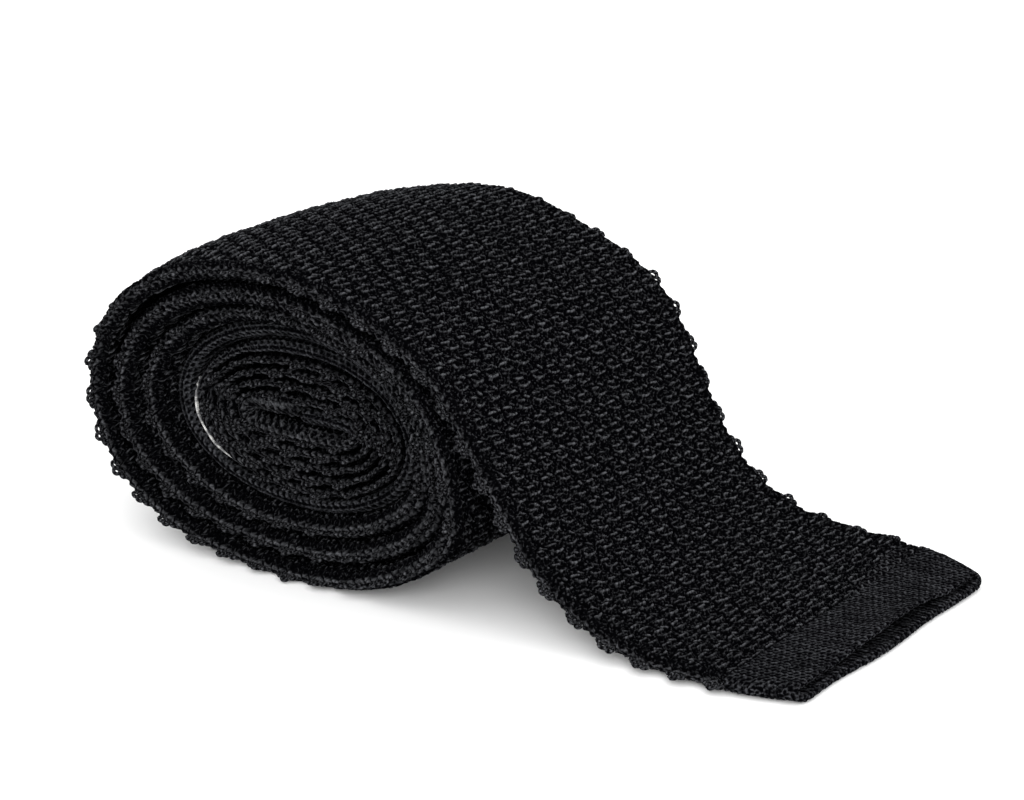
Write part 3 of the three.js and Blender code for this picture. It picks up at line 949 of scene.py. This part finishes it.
def add_edge_loops(name, side, start, end, material):
    """Small loops of yarn that stand out of one edge: a pair and a lower one at each repeat of the rings.

    A loop is a tube along an ellipse whose inner part is sunk in the cloth's edge.
    """
    places = np.arange(start, end, RING_REPEAT[0])
    order = np.arange(len(places))
    rows = []
    for offset, stand, radius_along, radius_out in EDGE_LOOPS:
        size = SMALLEST_LOOP + LOOP_SCATTER * scatter(order, 7 + offset)
        lean = LOOP_LEAN * (2 * scatter(order, 11 + offset) - 1)
        rows.append(np.stack([places + offset, stand + 0 * size, radius_along * size, radius_out * size,
                              lean], axis=-1))
    along, stand, radius_along, radius_out, lean = (v[:, None, None] for v in np.concatenate(rows).T)
    way = np.linspace(0, 2 * math.pi, LOOP_STEPS, endpoint=False)[None, :, None]
    girth = np.linspace(0, 2 * math.pi, LOOP_SIDES, endpoint=False)[None, None, :]
    # The tube's section turns about the ellipse: outwards in its plane and across it.
    in_plane = LOOP_YARN * np.cos(girth)
    across = LOOP_YARN * np.sin(girth)
    local_along = (radius_along + in_plane) * np.cos(way)
    local_out = stand + (radius_out + in_plane) * np.sin(way)
    distance = along + local_along
    x, z, normal_x, normal_z, _, width = PATH.at(distance)
    y = side * (width / 2 - EDGE_INSET + edge_spread(distance, side) + local_out) + edge_slip(distance)
    n = across + lean * local_out + fullness(distance, side) + edge_lift(distance, side)
    points = np.stack([x + normal_x * n, y, np.maximum(z + normal_z * n, 0)], axis=-1) * MM
    count = len(along)
    number = np.arange(count * LOOP_STEPS * LOOP_SIDES).reshape(count, LOOP_STEPS, LOOP_SIDES)
    a, b = number, np.roll(number, -1, axis=1)
    c, d = np.roll(b, -1, axis=2), np.roll(a, -1, axis=2)
    triangles = cell_triangles(d, c, b, a) if side > 0 else cell_triangles(a, b, c, d)
    # The map follows the yarn of a loop of mean size, and the tone its four twists a loop, which the
    # material turns into painted highlights and painted shade along the yarn.
    flat_map = cloth_map(0.6 * way + along, 0.3 * girth).reshape(-1, 2)
    tone = (0.6 + 0.4 * np.sin(4 * way + girth + 9 * scatter(along, stand))).ravel()
    return add_mesh(name, points.reshape(-1, 3), triangles, tone, flat_map, material)


def add_label(material):
    """The label: a thin satin sheet on the inside of the neck band, its edges rounded over."""
    first, last = PATH.distance_at(LABEL_FIRST_TURN), PATH.distance_at(LABEL_LAST_TURN)
    count_along, count_across, edge_count = LABEL_GRID
    along = np.linspace(first, last, count_along)[:, None]
    x, z, normal_x, normal_z, thickness, _ = PATH.at(along)
    flat = np.linspace(-1, 1, count_across)
    share, angle = (values[None, :] for values in round_section(flat, flat[::-1], edge_count))
    angle = np.radians(angle)
    half_thick = LABEL_THICKNESS / 2
    slip = look_up(LABEL_SLIP, (along - first) / (last - first))
    wave = LABEL_WAVER * wander(along, 0 * share, LABEL_WAVER_SIZE) - slip
    y = share * (LABEL_WIDTH / 2 - half_thick) + np.sign(share) * half_thick * np.cos(angle) + wave
    n = -thickness / 2 - GAP - half_thick + half_thick * np.sin(angle)
    points = np.stack([x + normal_x * n, y, z + normal_z * n], axis=-1) * MM
    number = np.arange(y.size).reshape(y.shape)
    beside = np.roll(number, -1, axis=1)
    triangles = cell_triangles(number[:-1], beside[:-1], beside[1:], number[1:])
    centres = len(points.reshape(-1, 3)) + np.arange(2)
    points = np.concatenate([points.reshape(-1, 3), points[[0, -1]].mean(axis=1)])
    for ring, centre, turned in ((number[0], centres[0], -1), (number[-1], centres[1], 1)):
        cap = np.stack([ring, np.roll(ring, -1), np.full(len(ring), centre)], axis=-1)
        triangles = np.concatenate([triangles, cap[:, ::turned]])
    flat_map = cloth_map(along, share * LABEL_WIDTH / 2).reshape(-1, 2)
    flat_map = np.concatenate([flat_map, flat_map[:2]])
    return add_mesh("label_satin", points, triangles, np.ones(len(points)), flat_map, material)


def colour_property(name, description, hex_colour):
    """A colour that the user may change, with an sRGB hex value as its default."""
    return bpy.props.FloatVectorProperty(name=name, description=description, default=linear(hex_colour),
                                         size=4, min=0, max=1, subtype="COLOR")


class KnitSettings(bpy.types.PropertyGroup):
    """How finely the knitting is modelled, the colours of its yarn, and its painted shade and highlights.
    """

    row_step: bpy.props.FloatProperty(
        name="Row step", description="Spacing of the rows of points along the tie",
        default=0.22 * MM, min=0.1 * MM, max=1 * MM, precision=5, unit="LENGTH")
    face_step: bpy.props.FloatProperty(
        name="Face step", description="Spacing of the points across the face",
        default=0.3 * MM, min=0.1 * MM, max=1 * MM, precision=5, unit="LENGTH")
    # The hollow colour is painted shade between the stitches.
    hollow: colour_property("Hollow colour", "Colour between the stitches", "020203")
    yarn: colour_property("Yarn colour", "Colour of the silk yarn", "040405")
    # The next two colours are painted highlights on the ribbed and the plain knit's yarn.
    painted_highlight: colour_property("Streak colour", "Colour of the streaks of the ribbed knit's yarn", "4f5053")
    plain_painted_highlight: colour_property(
        "Plain streak colour", "Colour of the streaks of the plain knit's yarn", "3e3f42")


class LabelSettings(bpy.types.PropertyGroup):
    """The blank label."""

    satin: colour_property("Satin colour", "Colour of the label's satin", "eeede9")
    # The shade colour is painted shade on blotches of the satin, and also the colour between its threads.
    shade: colour_property(
        "Satin shade", "Colour of the satin where it is soiled, and between its threads", "6c6c6d")


class StageSettings(bpy.types.PropertyGroup):
    """The floor and the light."""

    paper: colour_property("Floor colour", "Colour of the pale floor", "f4f4f4")
    surround: bpy.props.FloatProperty(
        name="Surround", description="Strength of the even light from all round", default=1.5, min=0)
    front_light: bpy.props.FloatProperty(
        name="Front light", description="Power of the soft light in front", default=10, min=0, unit="POWER")


class KNITTIE_OT_blade(bpy.types.Operator):
    """Knit the wide blade: the laid-out end and the loose outer turns"""

    bl_idname = "knit_tie.blade"
    bl_label = "Blade"

    def execute(self, context):
        settings = context.scene.knit_settings
        knit = silk_knit("ribbed silk knit", settings.hollow, settings.yarn, settings.painted_highlight, 0.45)
        row_step = settings.row_step / MM
        fine = (settings.face_step / MM, 16, WHOLE_FACE, (3, 2))
        # Start and end, spacing of the rows, section, and how far it swells outwards and inwards.
        stretches = (
            ("blade_front", HEM_LENGTH, 96, row_step, fine, (0.14, 0)),
            ("blade_over", 96, 175, row_step, fine, (0.14, 0)),
            ("blade_round", 175, 290, 0.36, ROUND_SECTION, (0.14, 0.4)),
            ("blade_wound", 290, 440, 0.34, WOUND_SECTION, (0.1, 0.5)),
            ("blade_inner", 440, NECK_START, 0.34, WOUND_SECTION, (0.1, 0.5)),
        )
        for name, start, end, step, section, swell in stretches:
            columns = section_columns(*section)
            piece = add_band(name, start, end, step, columns, ribbed_relief, EDGE_INSET, swell, knit)
            stand_for(piece, "blade")
        return {"FINISHED"}


class KNITTIE_OT_edge_loops(bpy.types.Operator):
    """Add the loops of yarn along both edges of the ribbed stretches"""

    bl_idname = "knit_tie.edge_loops"
    bl_label = "Edge loops"

    def execute(self, context):
        knit = bpy.data.materials["ribbed silk knit"]
        for name, side in (("near", -1), ("far", 1)):
            for part, start, end in (("blade", FIRST_LOOP, NECK_START),
                                     ("tail", NECK_END + TAIL_LOOPS_AFTER, PATH.length - TAIL_HEM_LENGTH)):
                loops = add_edge_loops(f"{part}_loops_{name}", side, start, end, knit)
        return {"FINISHED"}


class KNITTIE_OT_hem(bpy.types.Operator):
    """Knit the wide end's hem with its open mouth"""

    bl_idname = "knit_tie.hem"
    bl_label = "Hem"

    def execute(self, context):
        settings = context.scene.knit_settings
        plain = silk_knit("plain silk knit", settings.hollow, settings.yarn, settings.plain_painted_highlight, 0.5)
        stand_for(add_hem(plain), "blade_hem")
        return {"FINISHED"}


class KNITTIE_OT_label(bpy.types.Operator):
    """Sew the blank label to the inside of the neck band"""

    bl_idname = "knit_tie.label"
    bl_label = "Label"

    def execute(self, context):
        settings = context.scene.label_settings
        label = add_label(woven_satin("woven polyester satin", settings.satin, settings.shade))
        stand_for(label, "label")
        return {"FINISHED"}


class KNITTIE_OT_neck_and_tail(bpy.types.Operator):
    """Knit the neck band and the narrow end, wound into the core"""

    bl_idname = "knit_tie.neck_and_tail"
    bl_label = "Neck band and tail"

    def execute(self, context):
        knit = bpy.data.materials["ribbed silk knit"]
        plain = bpy.data.materials["plain silk knit"]
        tail_hem = PATH.length - TAIL_HEM_LENGTH
        columns = section_columns(*CORE_SECTION)
        stretches = (
            ("neck_band_knit", "neck_band", NECK_START, NECK_END, neck_relief, plain, "plain_knit"),
            ("tail_knit", "tail", NECK_END, tail_hem, ribbed_relief, knit, "ribbed_knit"),
            ("tail_hem_knit", "tail_hem", tail_hem, PATH.length, neck_relief, plain, "plain_knit"),
        )
        for name, node, start, end, relief, material, slot in stretches:
            piece = add_band(name, start, end, CORE_ROW_STEP, columns, relief, CORE_INSET, CORE_SWELL,
                             material)
            stand_for(piece, node)
        return {"FINISHED"}


class KNITTIE_OT_stage(bpy.types.Operator):
    """Set the pale floor, the soft light and the camera"""

    bl_idname = "knit_tie.stage"
    bl_label = "Stage"

    def execute(self, context):
        scene = context.scene
        settings = scene.stage_settings
        paper = bpy.data.materials.new("white paper")
        paper.use_nodes = True
        shader = paper.node_tree.nodes["Principled BSDF"]
        shader.inputs["Base Color"].default_value = settings.paper
        shader.inputs["Roughness"].default_value = 0.9
        mesh = bpy.data.meshes.new("floor")
        corners = [(FLOOR_HALF * x, FLOOR_HALF * y, 0) for x, y in ((-1, -1), (1, -1), (1, 1), (-1, 1))]
        mesh.from_pydata(corners, [], [(0, 1, 2, 3)])
        mesh.materials.append(paper)
        add_object("floor", mesh)
        world = bpy.data.worlds.new("studio")
        world.use_nodes = True
        background = world.node_tree.nodes["Background"]
        background.inputs["Color"].default_value = (1, 1, 1, 1)
        background.inputs["Strength"].default_value = settings.surround
        scene.world = world
        data = bpy.data.lights.new("front", "AREA")
        data.size = LAMP_SIDE
        data.energy = settings.front_light
        lamp = add_object("front", data)
        lamp.location = LAMP_PLACE
        lamp.rotation_euler = (-lamp.location).to_track_quat("-Z", "Y").to_euler()
        azimuth, elevation = math.radians(CAMERA_AZIMUTH), math.radians(CAMERA_ELEVATION)
        back = (math.sin(azimuth) * math.cos(elevation), -math.cos(azimuth) * math.cos(elevation),
                math.sin(elevation))
        data = bpy.data.cameras.new("camera")
        data.lens = CAMERA_LENS
        data.sensor_width = CAMERA_SENSOR
        data.clip_start, data.clip_end = CAMERA_CLIP
        camera = add_object("camera", data)
        camera.location = [value * MM for value in CAMERA_PLACE]
        camera.rotation_euler = (-Vector(back)).to_track_quat("-Z", "Y").to_euler()
        scene.camera = camera
        scene.view_settings.view_transform = "Standard"
        return {"FINISHED"}


class KNITTIE_PT_sidebar(bpy.types.Panel):
    """Lists the tie's pieces and their settings"""

    bl_idname = "KNITTIE_PT_sidebar"
    bl_label = "Knit tie"
    bl_space_type = "VIEW_3D"
    bl_region_type = "UI"
    bl_category = "Knit tie"

    def draw(self, context):
        scene = context.scene
        for settings in (scene.knit_settings, scene.label_settings, scene.stage_settings):
            box = self.layout.box()
            for name in settings.__annotations__:
                box.prop(settings, name)
        for operator in OPERATORS:
            self.layout.operator(operator.bl_idname)


OPERATORS = (KNITTIE_OT_hem, KNITTIE_OT_blade, KNITTIE_OT_edge_loops, KNITTIE_OT_neck_and_tail,
             KNITTIE_OT_label, KNITTIE_OT_stage)
CLASSES = (KnitSettings, LabelSettings, StageSettings) + OPERATORS + (KNITTIE_PT_sidebar,)


def register():
    """Registers every class and hangs the settings on the scene."""
    for cls in CLASSES:
        bpy.utils.register_class(cls)
    bpy.types.Scene.knit_settings = bpy.props.PointerProperty(type=KnitSettings)
    bpy.types.Scene.label_settings = bpy.props.PointerProperty(type=LabelSettings)
    bpy.types.Scene.stage_settings = bpy.props.PointerProperty(type=StageSettings)


def unregister():
    """Takes back what register has done."""
    del bpy.types.Scene.stage_settings
    del bpy.types.Scene.label_settings
    del bpy.types.Scene.knit_settings
    for cls in reversed(CLASSES):
        bpy.utils.unregister_class(cls)


def main():
    """Builds everything in order."""
    register()
    bpy.ops.knit_tie.hem()
    bpy.ops.knit_tie.blade()
    bpy.ops.knit_tie.edge_loops()
    bpy.ops.knit_tie.neck_and_tail()
    bpy.ops.knit_tie.label()
    bpy.ops.knit_tie.stage()


if __name__ == "__main__":
    main()
